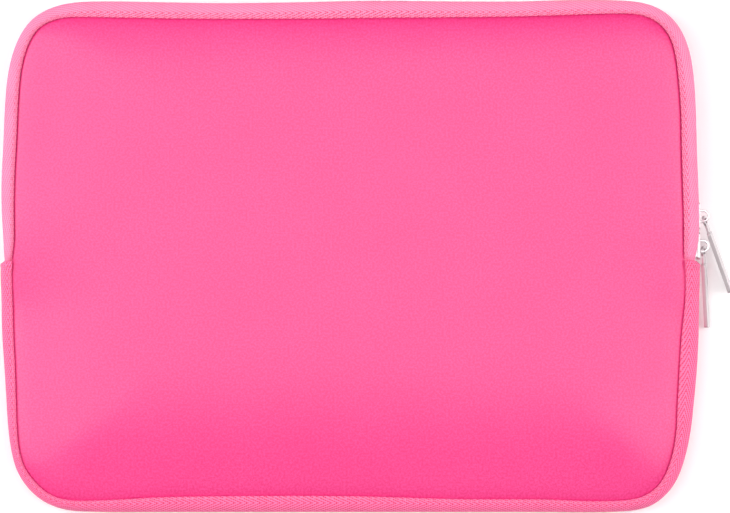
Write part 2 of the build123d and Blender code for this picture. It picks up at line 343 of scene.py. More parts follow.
def edge_top(y):
    """Height of a front panel's upper face at its sewn edge."""
    tape = sizes().tape / MM
    low = LOWER_HIGH[2] - tape
    high = UPPER_HIGH[2] - tape
    return low + (high - low) * ramp(y, PINCH_START_Y, ZIP_START_Y)


def edge_bottom(y):
    """Height of a front panel's lower face at its sewn edge."""
    high = UPPER_LOW[2] + sizes().tape / MM
    squeezed = MIDDLE_Z + (high - MIDDLE_Z) * ramp(y, SQUEEZE_START_Y, SQUEEZE_END_Y)
    return np.maximum(squeezed, edge_top(y) - sizes().foam / MM)


def edge_middle(y):
    """Height of the outermost line of a front panel's rounded edge."""
    share = ramp(y, SQUEEZE_START_Y, SQUEEZE_END_Y) / 2
    return edge_bottom(y) + (edge_top(y) - edge_bottom(y)) * share


def edge_round(y):
    """How far in an edge's rounding reaches."""
    return 3.4 + 1.6 * ramp(y, SQUEEZE_START_Y, SQUEEZE_END_Y)


# How square an edge's rounding is, and how the padding's slope eases off.
ROUND_POWER = 2.3
SLOPE_POWER = 2.0
SEAM_STEP = 2.6


def rounding(inset, reach):
    """Share of an edge's height that is reached at an inset."""
    t = 1 - np.clip(inset / reach, 0, 1)
    return (1 - t**ROUND_POWER) ** (1 / ROUND_POWER)


# ---------------------------------------------------------------- mesh making


def turned(points, way):
    """The points as drawn for the front, or mirrored for the back when way is -1."""
    points = np.array(points, float)
    points[..., 2] = MIDDLE_Z + way * (points[..., 2] - MIDDLE_Z)
    return points


def new_piece(name, points, faces, finish, weave=None):
    """A mesh piece from points in millimetres. weave holds each point's place on the cloth in metres."""
    mesh = bpy.data.meshes.new(name)
    mesh.from_pydata((np.asarray(points) * MM).tolist(), [], faces)
    mesh.update()
    if weave is not None:
        layer = mesh.uv_layers.new(name="Weave")
        corner_points = np.zeros(len(mesh.loops), np.int32)
        mesh.loops.foreach_get("vertex_index", corner_points)
        layer.data.foreach_set("uv", np.asarray(weave, np.float32)[corner_points].ravel())
    work = bmesh.new()
    work.from_mesh(mesh)
    bmesh.ops.recalc_face_normals(work, faces=work.faces)
    work.to_mesh(mesh)
    work.free()
    mesh.shade_smooth()
    piece = bpy.data.objects.new(name, mesh)
    bpy.context.scene.collection.objects.link(piece)
    mesh.materials.append(finish)
    return piece


def swept(name, seam, sections, finish, way=1, across=None):
    """A tube whose closed section, as insets and heights, changes along a seam."""
    stations, around = sections.shape[:2]
    flat = seam.at[:, None, :] + seam.across[:, None, :] * sections[:, :, :1]
    points = np.concatenate([flat, sections[:, :, 1:2]], axis=2).reshape(-1, 3)
    i = np.arange(stations - 1)[:, None] * around
    j = np.arange(around)[None, :]
    k = (j + 1) % around
    faces = np.stack([i + j, i + k, i + around + k, i + around + j], axis=2).reshape(-1, 4).tolist()
    faces.append(list(range(around)))
    faces.append(list(range((stations - 1) * around, stations * around)))
    if across is None:
        steps = np.linalg.norm(np.diff(sections[stations // 2], axis=0), axis=1)
        across = np.concatenate([[0], np.cumsum(steps)])
    weave = np.stack(
        [np.repeat(seam.along, around), np.tile(across, stations)], axis=1
    ) * MM
    return new_piece(name, turned(points, way), faces, finish, weave)


def tape_sections(
    seam, top, bottom, middle, reach, inner_leg, thickness, edge, proud=0.25, reach_share=0.7
):
    """Sections of a tape folded round an edge: outside from its upper edge to its lower
    edge, then back along its inside."""
    def column(values):
        return np.broadcast_to(np.asarray(values, float), seam.width.shape)[:, None]

    top, bottom, middle, edge = column(top), column(bottom), column(middle), column(edge)
    reach = np.minimum(column(reach), reach_share * edge)
    leg_share = np.array([1, 0.96, 0.85, 0.6, 0.3])[None, :]
    turn = np.linspace(math.pi / 2, 0, 10)[None, :]
    power = 2 / ROUND_POWER
    arc_in = 1 - np.cos(turn) ** power
    arc_up = np.sin(turn) ** power
    leg_in = reach + (edge - reach) * leg_share
    fall = np.array([0.84, 0.24, -0.12, -1.0, -1.2])[None, :] * proud
    upper_leg = np.stack([leg_in, top - fall], axis=2)
    upper_arc = np.stack([reach * arc_in, middle + (top - middle) * arc_up], axis=2)
    swell = proud * np.sin(math.pi * arc_in / 2) ** 2
    upper_arc[:, :, 1] += swell
    lower_arc = np.stack([reach * arc_in, middle + (bottom - middle) * arc_up], axis=2)[:, ::-1]
    lower_leg_in = reach + (inner_leg - reach) * np.array([0.4, 1.0])[None, :]
    lower_leg = np.stack([lower_leg_in, np.broadcast_to(bottom, lower_leg_in.shape)], axis=2)
    outside = np.concatenate([upper_leg, upper_arc, lower_arc[:, 1:], lower_leg], axis=1)
    share = np.clip((reach - outside[:, :, 0]) / reach, 0, 1) ** 1.5
    half = np.maximum(np.abs(outside[:, :, 1] - middle), 1e-6)
    inside = outside.copy()
    inside[:, :, 0] += thickness * share
    shrink = np.clip((half - thickness) / half, 0.02, 1)
    inside[:, :, 1] = middle + (outside[:, :, 1] - middle) * shrink
    return np.concatenate([outside, inside[:, ::-1]], axis=1)


def saw_tooth(along, pitch, depth):
    """The small pulls that stitches make along the edge of a tape."""
    place = np.mod(along / pitch, 1)
    return depth * (np.where(place < 0.5, place * 2, 2 - place * 2) - 0.5)


def stitch_row(name, places, runs, ups, length, radius, finish, dip=0.3):
    """Separate stitches, each a short bowed length of thread."""
    rings, sides = 7, 6
    t = np.linspace(-1, 1, rings)
    size = radius * np.sqrt(np.clip(1 - np.abs(t) ** 3 * 0.9, 0.05, 1))
    turn = np.arange(sides) * 2 * math.pi / sides
    runs = runs / np.linalg.norm(runs, axis=1)[:, None]
    sides_way = np.cross(ups, runs)
    sides_way /= np.linalg.norm(sides_way, axis=1)[:, None]
    points = (
        places[:, None, None, :]
        + runs[:, None, None, :] * (t * length / 2)[None, :, None, None]
        - ups[:, None, None, :] * (dip * t**4)[None, :, None, None]
        + ups[:, None, None, :] * (size[:, None] * np.sin(turn)[None, :])[None, :, :, None]
        + sides_way[:, None, None, :] * (size[:, None] * np.cos(turn)[None, :])[None, :, :, None]
    ).reshape(-1, 3)
    faces = []
    for s in range(len(places)):
        base = s * rings * sides
        for r in range(rings - 1):
            for k in range(sides):
                a = base + r * sides + k
                b = base + r * sides + (k + 1) % sides
                faces.append((a, b, b + sides, a + sides))
        faces.append(tuple(range(base, base + sides)))
        faces.append(tuple(range(base + (rings - 1) * sides, base + rings * sides)))
    across = np.tile(np.repeat(t * length / 2, sides), len(places))
    round_it = np.tile(np.tile(turn * radius, rings), len(places))
    return new_piece(name, points, faces, finish, np.stack([across, round_it], axis=1) * MM)


# ---------------------------------------------------------------- padded panels


def edge_distance_drop(points, loop, crease, crown):
    """How far below the crown each point is, from the sewn edge near it."""
    drop = np.zeros(len(points))
    fall = crown - edge_top(loop.at[:, 1])
    for start in range(0, len(points), 2000):
        part = points[start:start + 2000]
        away = np.linalg.norm(part[:, None, :] - crease[None, :, :], axis=2)
        share = np.clip(1 - away / loop.slope[None, :], 0, 1) ** SLOPE_POWER
        drop[start:start + 2000] = (share * fall[None, :]).max(axis=1)
    return drop


def panel_rings(loop, start_insets, from_crease, rings, crown):
    """Rings of points from a panel's edge to near its middle: places and upper heights."""
    crease = loop.at + loop.across * loop.width[:, None]
    top = edge_top(loop.at[:, 1])
    middle = edge_middle(loop.at[:, 1])
    reach = np.minimum(edge_round(loop.at[:, 1]), 0.7 * loop.width)
    places, heights = [], []
    for inset in start_insets:
        inset = np.minimum(inset, 0.85 * loop.width)
        places.append(loop.at + loop.across * inset[:, None])
        heights.append(middle + (top - middle) * rounding(inset - start_insets[0], reach))
    fall = crown - top
    for extra in from_crease:
        places.append(crease + loop.across * extra)
        own = np.clip(1 - max(extra, 0) / loop.slope, 0, 1) ** SLOPE_POWER
        heights.append(crown - fall * own)
    last = places[-1]
    for k in range(1, rings):
        places.append(last * (1 - k / rings))
        heights.append(np.full(len(last), crown))
    places = np.array(places)
    heights = np.array(heights)
    first = len(start_insets)
    inner = places[first + 2:].reshape(-1, 2)
    drop = edge_distance_drop(inner, loop, crease, crown)
    heights[first + 2:] = crown - drop.reshape(heights[first + 2:].shape)
    for _ in range(12):
        smooth = heights.copy()
        smooth[1:-1] = (heights[:-2] + heights[2:] + 2 * heights[1:-1]) / 4
        smooth = (np.roll(smooth, 1, 1) + np.roll(smooth, -1, 1) + 2 * smooth) / 4
        smooth[:first + 4] = heights[:first + 4]
        heights = smooth
    return places, heights


# The cloth simulation's grid, the most that it may move a panel, and how soon it nears that.
RELIEF_STEP = 6.0
RELIEF_CAP = 0.8
RELIEF_SOFTNESS = 4.0
CLOTH_FRAMES = 20
relief_kept = {}


def settled_relief(crown):
    """How the knit skin, held at its seam, settles over the padding: its rise and fall in
    millimetres on an even grid, from a cloth simulation. Worked out once for each crown."""
    if crown in relief_kept:
        return relief_kept[crown]
    loop = Seam(whole_knots(), SEAM_STEP, closed=True)
    crease = loop.at + loop.across * loop.width[:, None]
    x_count = int(2 * (HALF_LENGTH + RELIEF_STEP) / RELIEF_STEP)
    y_count = int(2 * (HALF_WIDTH + RELIEF_STEP) / RELIEF_STEP)
    x = (np.arange(x_count) - (x_count - 1) / 2) * RELIEF_STEP
    y = (np.arange(y_count) - (y_count - 1) / 2) * RELIEF_STEP
    relief = np.zeros((y_count, x_count))
    relief_kept[crown] = (x[0], y[0], relief)
    flat = np.stack(np.meshgrid(x, y), axis=2).reshape(-1, 2)
    away = np.linalg.norm(flat[:, None, :] - crease[None, :, :], axis=2)
    near = away.argmin(axis=1)
    inside = ((flat - crease[near]) * loop.across[near]).sum(axis=1) > 0
    depth = away.min(axis=1)
    height = crown - edge_distance_drop(flat, loop, crease, crown)
    number = np.cumsum(inside) - 1
    kept = np.concatenate([flat, height[:, None]], axis=1)[inside] * MM
    faces = []
    for row in range(y_count - 1):
        for column in range(x_count - 1):
            a = row * x_count + column
            corners = (a, a + 1, a + x_count + 1, a + x_count)
            if all(inside[c] for c in corners):
                faces.append([int(number[c]) for c in corners])
    mesh = bpy.data.meshes.new("skin cloth")
    mesh.from_pydata(kept.tolist(), [], faces)
    skin = bpy.data.objects.new("skin_cloth", mesh)
    scene = bpy.context.scene
    scene.collection.objects.link(skin)
    seam = skin.vertex_groups.new(name="seam")
    held = 1 - ramp(depth[inside], RELIEF_STEP, 3 * RELIEF_STEP)
    for vertex, weight in enumerate(held):
        seam.add([vertex], float(weight), "REPLACE")
    cloth = skin.modifiers.new("skin", "CLOTH")
    settings = cloth.settings
    settings.quality = 6
    settings.mass = 0.2
    settings.tension_stiffness = 40
    settings.compression_stiffness = 40
    settings.shear_stiffness = 20
    settings.bending_stiffness = 12
    settings.use_pressure = True
    settings.uniform_pressure_force = 4
    settings.effector_weights.gravity = 0
    settings.vertex_group_mass = "seam"
    cloth.collision_settings.use_collision = False
    cloth.point_cache.frame_end = CLOTH_FRAMES
    for step in range(1, CLOTH_FRAMES + 1):
        scene.frame_set(step)
    settled = skin.evaluated_get(bpy.context.evaluated_depsgraph_get())
    after = np.zeros(len(kept) * 3, np.float32)
    settled.data.vertices.foreach_get("co", after)
    rise = (after.reshape(-1, 3)[:, 2] - kept[:, 2]) / MM
    bpy.data.objects.remove(skin)
    scene.frame_set(1)
    relief.reshape(-1)[inside] = RELIEF_CAP * rise / (np.abs(rise) + RELIEF_SOFTNESS)
    return relief_kept[crown]


def relief_at(places, crown):
    """The settled rise or fall at each place."""
    first_x, first_y, relief = settled_relief(crown)
    column = np.clip((places[..., 0] - first_x) / RELIEF_STEP, 0, relief.shape[1] - 1.001)
    row = np.clip((places[..., 1] - first_y) / RELIEF_STEP, 0, relief.shape[0] - 1.001)
    c, r = column.astype(int), row.astype(int)
    u, v = column - c, row - r
    u, v = u * u * (3 - 2 * u), v * v * (3 - 2 * v)
    low = relief[r, c] * (1 - u) + relief[r, c + 1] * u
    high = relief[r + 1, c] * (1 - u) + relief[r + 1, c + 1] * u
    return low * (1 - v) + high * v


def settle(heights, places, way):
    """Adds the settled relief to a panel's heights; a back panel only sinks, off the floor."""
    rise = relief_at(places, CROWN_Z)
    heights += rise if way > 0 else np.minimum(rise - RELIEF_CAP / 2, 0)


# How deep the groove along the binding is at the first rings inside the seam.
GROOVE = {0: 0.5, 1: 1.15, 2: 0.25}


def ring_faces(ring_count, around):
    """Faces between rings of points that lie one inside the other, and a middle point."""
    faces = []
    for r in range(ring_count - 1):
        for k in range(around):
            n = (k + 1) % around
            faces.append((r * around + k, r * around + n, (r + 1) * around + n, (r + 1) * around + k))
    middle = ring_count * around
    for k in range(around):
        last = (ring_count - 1) * around
        faces.append((last + k, last + (k + 1) % around, middle))
    return faces


def closed_pad(name, places, upper, lower, finish, way):
    """A closed pad from rings of places and the heights of its two faces."""
    rings, around = upper.shape
    top = np.concatenate([places.reshape(-1, 2), upper.reshape(-1, 1)], axis=1)
    top = np.vstack([top, [0, 0, upper[-1].mean()]])
    faces = ring_faces(rings, around)
    under = np.concatenate([places.reshape(-1, 2), lower.reshape(-1, 1)], axis=1)
    under = np.vstack([under, [0, 0, lower[-1].mean()]])
    offset = len(top)
    points = np.vstack([top, under])
    for face in ring_faces(rings, around):
        faces.append(tuple(offset + v for v in reversed(face)))
    for k in range(around):
        n = (k + 1) % around
        faces.append((n, k, offset + k, offset + n))
    points = turned(points, way)
    return new_piece(name, points, faces, finish, points[:, :2] * MM)


def foam_thickness(loop, places, foam):
    """Foam thickness at each place: squeezed at the sewn edge, full further in."""
    edge = (edge_top(loop.at[:, 1]) - edge_bottom(loop.at[:, 1]))[None, :]
    first = places[0][None, :, :]
    away = np.linalg.norm(places - first, axis=2)
    return edge + (foam - edge) * ramp(away, 8, 26)


def make_panel(name, way, crown, finish):
    """A foam panel with a rounded sewn edge, a groove at the binding and a padded middle."""
    loop = Seam(whole_knots(), SEAM_STEP, closed=True)
    foam = sizes().foam / MM
    insets = [0.95, 1.15, 1.6, 2.4, 3.4, 4.4]
    extras = [-0.5, 0.1, 0.6, 1.3, 2.6, 4.6, 7.2]
    places, heights = panel_rings(loop, insets, extras, sizes().panel_rings, crown)
    first = len(insets)
    settle(heights, places, way)
    share = 0.35 + 0.4 * ramp(loop.at[:, 1], LOWER_START_Y, ZIP_START_Y)
    for ring, depth in GROOVE.items():
        heights[first + ring] -= depth * share
    thick = foam_thickness(loop, places, foam)
    middle = edge_middle(loop.at[:, 1])
    bottom = edge_bottom(loop.at[:, 1])
    reach = np.minimum(edge_round(loop.at[:, 1]), 0.7 * loop.width)
    lower = heights - thick
    for ring, inset in enumerate(insets):
        inset = np.minimum(inset, 0.85 * loop.width)
        lower[ring] = middle + (bottom - middle) * rounding(inset - insets[0], reach)
    for ring in range(first, first + 2):
        lower[ring] = bottom
    lower[0] = heights[0] - 0.02
    return closed_pad(name, places, heights, lower, finish, way)


def make_lining(name, way, crown, finish):
    """The lining, a thin cloth that lies against the inside of a panel."""
    loop = Seam(whole_knots(), SEAM_STEP, closed=True)
    foam = sizes().foam / MM
    cloth = sizes().lining / MM
    loop_width = loop.width.copy()
    loop.width = np.maximum(loop.width + 0.6, 9.3)
    crease_shift = loop.width - loop_width
    extras = [0.0, 1.2, 3.0, 5.0, 8.0]
    crease = loop.at + loop.across * loop.width[:, None]
    top = edge_top(loop.at[:, 1])
    places, heights = [], []
    for extra in extras:
        places.append(crease + loop.across * extra)
        own = np.clip(1 - (extra + crease_shift) / loop.slope, 0, 1) ** SLOPE_POWER
        heights.append(crown - (crown - top) * own)
    last = places[-1]
    rings = sizes().panel_rings
    for k in range(1, rings):
        places.append(last * (1 - k / rings))
        heights.append(np.full(len(last), crown))
    places = np.array(places)
    heights = np.array(heights)
    loop.width = loop_width
    seam = loop.at + loop.across * loop.width[:, None]
    drop = edge_distance_drop(places[2:].reshape(-1, 2), loop, seam, crown)
    heights[2:] = crown - drop.reshape(heights[2:].shape)
    thick = foam_thickness(loop, np.concatenate([loop.at[None], places]), foam)[1:]
    settle(heights, places, way)
    upper = heights - thick - 0.12
    lower = upper - cloth
    return closed_pad(name, places, upper, lower, finish, way)


# ---------------------------------------------------------------- shader node groups and finishes


class Board:
    """Adds and links the nodes of one material or node group."""

    def __init__(self, tree):
        self.tree = tree

    def add(self, kind, inputs=None, **settings):
        """A node with its settings; inputs are values or sockets to link."""
        node = self.tree.nodes.new(kind)
        for key, value in settings.items():
            setattr(node, key, value)
        for key, value in (inputs or {}).items():
            if isinstance(value, bpy.types.NodeSocket):
                self.tree.links.new(value, node.inputs[key])
            else:
                node.inputs[key].default_value = value
        return node

    def maths(self, operation, *values, clamp=False):
        """The output of a Math node."""
        inputs = dict(enumerate(values))
        node = self.add("ShaderNodeMath", inputs, operation=operation, use_clamp=clamp)
        return node.outputs[0]

    def between(self, value, low, high, to_low=0.0, to_high=1.0):
        """A smooth change from to_low to to_high as value goes from low to high."""
        node = self.add(
            "ShaderNodeMapRange",
            {"Value": value, "From Min": low, "From Max": high, "To Min": to_low, "To Max": to_high},
            interpolation_type="SMOOTHSTEP",
        )
        return node.outputs["Result"]

    def noise(self, vector, scale, detail=2.0, roughness=0.5):
        """The value of a noise texture."""
        node = self.add(
            "ShaderNodeTexNoise",
            {"Vector": vector, "Scale": scale, "Detail": detail, "Roughness": roughness},
        )
        return node.outputs["Fac"]

    def mix(self, share, first, second):
        """A mix of two colours."""
        node = self.add("ShaderNodeMix", data_type="RGBA")
        for socket, value in ((node.inputs[0], share), (node.inputs[6], first), (node.inputs[7], second)):
            if isinstance(value, bpy.types.NodeSocket):
                self.tree.links.new(value, socket)
            else:
                socket.default_value = value
        return node.outputs[2]


def new_group(name, inputs, outputs):
    """An empty shader node group with named inputs and outputs."""
    group = bpy.data.node_groups.new(name, "ShaderNodeTree")
    for label, kind, value in inputs:
        socket = group.interface.new_socket(name=label, in_out="INPUT", socket_type=kind)
        if value is not None:
            socket.default_value = value
    for label, kind in outputs:
        group.interface.new_socket(name=label, in_out="OUTPUT", socket_type=kind)
    board = Board(group)
    return group, board, group.nodes.new("NodeGroupInput"), group.nodes.new("NodeGroupOutput")


def knit_group():
    """Knit grain: rows of small loops and a soft mottle, from a place on the cloth."""
    name = "Knit grain"
    if name in bpy.data.node_groups:
        return bpy.data.node_groups[name]
    group, board, start, end = new_group(
        name,
        [("Place", "NodeSocketVector", None), ("Loop width", "NodeSocketFloat", 0.0007)],
        [("Height", "NodeSocketFloat"), ("Mottle", "NodeSocketFloat"), ("Cloudy", "NodeSocketFloat")],
    )
    place = start.outputs["Place"]
    parts = board.add("ShaderNodeSeparateXYZ", {0: place})
    columns = board.maths("DIVIDE", parts.outputs[0], start.outputs["Loop width"])
    rows = board.maths("DIVIDE", parts.outputs[1], start.outputs["Loop width"])
    side = board.maths("PINGPONG", columns, 0.5)
    slant = board.maths("MULTIPLY_ADD", side, 1.6, rows)
    wave = board.maths("SINE", board.maths("MULTIPLY", slant, 2 * math.pi))
    rib = board.maths("SINE", board.maths("MULTIPLY", side, 2 * math.pi))
    loops = board.maths("MULTIPLY_ADD", wave, 0.3, board.maths("MULTIPLY", rib, 0.5))
    fine = board.noise(place, 1500.0, 3.0, 0.6)
    height = board.maths("MULTIPLY_ADD", fine, 0.9, loops)
    group.links.new(height, end.inputs["Height"])
    speckle = board.noise(place, 850.0, 3.0, 0.75)
    group.links.new(board.between(speckle, 0.38, 0.62), end.inputs["Mottle"])
    cloud = board.noise(place, 22.0, 3.0, 0.55)
    group.links.new(board.between(cloud, 0.3, 0.7), end.inputs["Cloudy"])
    return group


def twill_group():
    """Herringbone twill: slanting ribs that meet along one line, with small gaps between yarns."""
    name = "Herringbone twill"
    if name in bpy.data.node_groups:
        return bpy.data.node_groups[name]
    group, board, start, end = new_group(
        name,
        [
            ("Place", "NodeSocketVector", None),
            ("Rib pitch", "NodeSocketFloat", 0.0027),
            ("Slant", "NodeSocketFloat", 2.4),
            ("Meeting line", "NodeSocketFloat", 0.0033),
            ("Gap pitch", "NodeSocketFloat", 0.00116),
        ],
        [("Height", "NodeSocketFloat"), ("Gaps", "NodeSocketFloat"), ("Inner side", "NodeSocketFloat")],
    )
    parts = board.add("ShaderNodeSeparateXYZ", {0: start.outputs["Place"]})
    along, across = parts.outputs[0], parts.outputs[1]
    wobble = board.maths("SUBTRACT", board.noise(start.outputs["Place"], 260.0, 2.0), 0.5)
    along = board.maths("MULTIPLY_ADD", wobble, 0.00025, along)
    off = board.maths("SUBTRACT", across, start.outputs["Meeting line"])
    away = board.maths("ABSOLUTE", off)
    slanted = board.maths("MULTIPLY_ADD", away, start.outputs["Slant"], along)
    phase = board.maths("DIVIDE", slanted, start.outputs["Rib pitch"])
    rib = board.maths("COSINE", board.maths("MULTIPLY", phase, 2 * math.pi))
    dots = board.maths("DIVIDE", along, start.outputs["Gap pitch"])
    dot = board.maths("COSINE", board.maths("MULTIPLY", dots, 2 * math.pi))
    trough = board.between(rib, 0.15, -0.75)
    pores = board.between(dot, -0.7, 0.5, 0.45, 1.0)
    gaps = board.maths("MULTIPLY", trough, pores)
    group.links.new(gaps, end.inputs["Gaps"])
    yarn = board.maths("MULTIPLY_ADD", dot, 0.18, board.maths("MULTIPLY", rib, 0.5))
    group.links.new(yarn, end.inputs["Height"])
    inner = board.between(off, 0.0018, -0.0004)
    group.links.new(inner, end.inputs["Inner side"])
    return group


def wear_group():
    """Soft wear and dust: a patchy mask and fine specks."""
    name = "Wear and dust"
    if name in bpy.data.node_groups:
        return bpy.data.node_groups[name]
    group, board, start, end = new_group(
        name,
        [
            ("Place", "NodeSocketVector", None),
            ("Patch scale", "NodeSocketFloat", 60.0),
            ("Speck scale", "NodeSocketFloat", 900.0),
        ],
        [("Wear", "NodeSocketFloat"), ("Specks", "NodeSocketFloat")],
    )
    place = start.outputs["Place"]
    patch = board.noise(place, start.outputs["Patch scale"], 5.0, 0.6)
    group.links.new(board.between(patch, 0.42, 0.72), end.inputs["Wear"])
    specks = board.noise(place, start.outputs["Speck scale"], 2.0, 0.5)
    group.links.new(board.between(specks, 0.66, 0.74), end.inputs["Specks"])
    return group


def new_finish(name):
    """An empty material with its shader: the board, the shader node and the cloth's place."""
    material = bpy.data.materials.new(name)
    material.use_nodes = True
    board = Board(material.node_tree)
    shader = material.node_tree.nodes["Principled BSDF"]
    place = board.add("ShaderNodeUVMap", uv_map="Weave").outputs["UV"]
    return material, board, shader, place


def use_group(board, group, inputs):
    """A node group placed in a material with its own values."""
    node = board.add("ShaderNodeGroup", node_tree=group)
    for key, value in inputs.items():
        if isinstance(value, bpy.types.NodeSocket):
            board.tree.links.new(value, node.inputs[key])
        else:
            node.inputs[key].default_value = value
    return node


def bump_to(board, shader, height, strength, distance):
    """Feeds a height to a shader's normal."""
    bump = board.add("ShaderNodeBump", {"Height": height, "Strength": strength, "Distance": distance})
    board.tree.links.new(bump.outputs["Normal"], shader.inputs["Normal"])


def finish_named(name, make):
    """The material of that name, made on first use."""
    return bpy.data.materials.get(name) or make(name)


def knit_foam(name):
    """Knit-faced foam of the padded panels."""
    material, board, shader, place = new_finish(name)
    knit = use_group(board, knit_group(), {"Place": place, "Loop width": 0.0009})
    wear = use_group(board, wear_group(), {"Place": place, "Patch scale": 35.0})
    cloudy = board.maths("MULTIPLY_ADD", knit.outputs["Cloudy"], 0.1, -0.1)
    tone = board.maths("MULTIPLY_ADD", knit.outputs["Mottle"], 0.8, cloudy)
    tone = board.maths("MULTIPLY_ADD", wear.outputs["Specks"], 0.25, tone, clamp=True)
    colour = board.mix(tone, tuple(colours().panel), tuple(colours().panel_light))
    board.tree.links.new(colour, shader.inputs["Base Color"])
    rough = board.between(knit.outputs["Mottle"], 0.0, 1.0, 0.36, 0.44)
    board.tree.links.new(rough, shader.inputs["Roughness"])
    shader.inputs["Specular IOR Level"].default_value = 0.77
    shader.inputs["Sheen Weight"].default_value = 0.12
    shader.inputs["Sheen Roughness"].default_value = 0.45
    shader.inputs["Sheen Tint"].default_value = (1.0, 0.75, 0.85, 1)
    bump_to(board, shader, knit.outputs["Height"], 0.35, 0.00012)
    return material


def twill_tape(name, slant, meeting, rib_pitch, gap_share, outer_share, sheen, ribs):
    """Herringbone tape of the bindings, in a rib colour that carries painted light: lighter for the
    zip-side bindings, darker for the lower one.
    """
    material, board, shader, place = new_finish(name)
    weave = use_group(
        board, twill_group(),
        {"Place": place, "Slant": slant, "Meeting line": meeting, "Rib pitch": rib_pitch},
    )
    wear = use_group(board, wear_group(), {"Place": place, "Patch scale": 90.0})
    near = board.maths("MULTIPLY_ADD", weave.outputs["Inner side"], 1 - outer_share, outer_share)
    gaps = board.maths("MULTIPLY", weave.outputs["Gaps"], near)
    gaps = board.maths("MULTIPLY", gaps, gap_share)
    gaps = board.maths("MULTIPLY_ADD", wear.outputs["Wear"], 0.06, gaps, clamp=True)
    # The rib colour passed in is a lit copy with painted highlight for the rolled bindings, or a shaded
    # copy with painted shade for the lower binding.
    colour = board.mix(gaps, tuple(ribs), tuple(colours().binding_dark))
    board.tree.links.new(colour, shader.inputs["Base Color"])
    rough = board.between(weave.outputs["Height"], -0.6, 0.6, 0.75, 0.5)
    board.tree.links.new(rough, shader.inputs["Roughness"])
    shader.inputs["Specular IOR Level"].default_value = 0.5
    shader.inputs["Sheen Weight"].default_value = sheen
    shader.inputs["Sheen Roughness"].default_value = 0.4
    bump_to(board, shader, weave.outputs["Height"], 0.55, 0.00022)
    return material


def lower_twill_painted_shade(name):
    """The flat herringbone of the lower binding, in the darker lower-binding colour, which is painted shade
    for the less-lit lower edge.
    """
    return twill_tape(name, 2.4, 0.0035, 0.0034, 1.0, 0.95, 0.1, colours().lower_binding)


def rolled_twill_painted_highlight(name):
    """The tighter, smoother twill of the rolled zip-side bindings, in the binding colour, which holds a
    painted highlight.
    """
    return twill_tape(name, -2.6, 0.0032, 0.0036, 1.0, 0.4, 0.1, colours().binding)


def brushed_lining(name):
    """Soft brushed knit of the lining."""
    material, board, shader, place = new_finish(name)
    knit = use_group(board, knit_group(), {"Place": place, "Loop width": 0.0014})
    pile = board.noise(place, 900.0, 5.0, 0.7)
    shade = board.mix(
        board.between(pile, 0.35, 0.65), tuple(c * 0.75 for c in colours().lining[:3]) + (1,),
        tuple(colours().lining),
    )
    board.tree.links.new(shade, shader.inputs["Base Color"])
    board.tree.links.new(board.between(pile, 0.3, 0.7, 0.8, 0.95), shader.inputs["Roughness"])
    shader.inputs["Sheen Weight"].default_value = 0.35
    shader.inputs["Sheen Roughness"].default_value = 0.5
    height = board.maths("MULTIPLY_ADD", pile, 1.4, knit.outputs["Height"])
    bump_to(board, shader, height, 0.5, 0.0003)
    return material


def zip_weave(name):
    """Plain woven tape of the zip."""
    material, board, shader, place = new_finish(name)
    parts = board.add("ShaderNodeSeparateXYZ", {0: place})
    warp = board.maths("SINE", board.maths("MULTIPLY", parts.outputs[0], 2 * math.pi / 0.0007))
    weft = board.maths("SINE", board.maths("MULTIPLY", parts.outputs[1], 2 * math.pi / 0.0005))
    height = board.maths("MULTIPLY", warp, weft)
    wear = use_group(board, wear_group(), {"Place": place, "Patch scale": 120.0})
    tone = board.maths("MULTIPLY_ADD", height, 0.25, 0.4)
    tone = board.maths("MULTIPLY_ADD", wear.outputs["Wear"], 0.2, tone, clamp=True)
    dark = tuple(c * 0.65 for c in colours().zip_tape[:3]) + (1,)
    board.tree.links.new(board.mix(tone, dark, tuple(colours().zip_tape)), shader.inputs["Base Color"])
    board.tree.links.new(board.between(height, -1.0, 1.0, 0.85, 0.65), shader.inputs["Roughness"])
    bump_to(board, shader, height, 0.5, 0.00015)
    return material


def satin_coil(name):
    """Satin nylon of the zip coil."""
    material, board, shader, place = new_finish(name)
    wear = use_group(board, wear_group(), {"Place": place, "Patch scale": 200.0, "Speck scale": 2500.0})
    pale = tuple(min(1.0, c * 1.15 + 0.03) for c in colours().coil[:3]) + (1,)
    shade = board.mix(wear.outputs["Wear"], tuple(colours().coil), pale)
    board.tree.links.new(shade, shader.inputs["Base Color"])
    rough = board.between(wear.outputs["Wear"], 0.0, 1.0, 0.32, 0.5)
    board.tree.links.new(rough, shader.inputs["Roughness"])
    bump_to(board, shader, wear.outputs["Specks"], 0.15, 0.00004)
    return material


def twisted_thread(name):
    """Twisted sewing thread."""
    material, board, shader, place = new_finish(name)
    parts = board.add("ShaderNodeSeparateXYZ", {0: place})
    lean = board.maths("MULTIPLY_ADD", parts.outputs[1], 0.6, parts.outputs[0])
    twist = board.maths("SINE", board.maths("MULTIPLY", lean, 2 * math.pi / 0.00045))
    tone = board.maths("MULTIPLY_ADD", twist, 0.35, 0.5, clamp=True)
    dark = tuple(c * 0.85 for c in colours().thread[:3]) + (1,)
    board.tree.links.new(board.mix(tone, dark, tuple(colours().thread)), shader.inputs["Base Color"])
    board.tree.links.new(board.between(twist, -1.0, 1.0, 0.65, 0.5), shader.inputs["Roughness"])
    shader.inputs["Sheen Weight"].default_value = 0.15
    bump_to(board, shader, twist, 0.15, 0.00004)
    return material


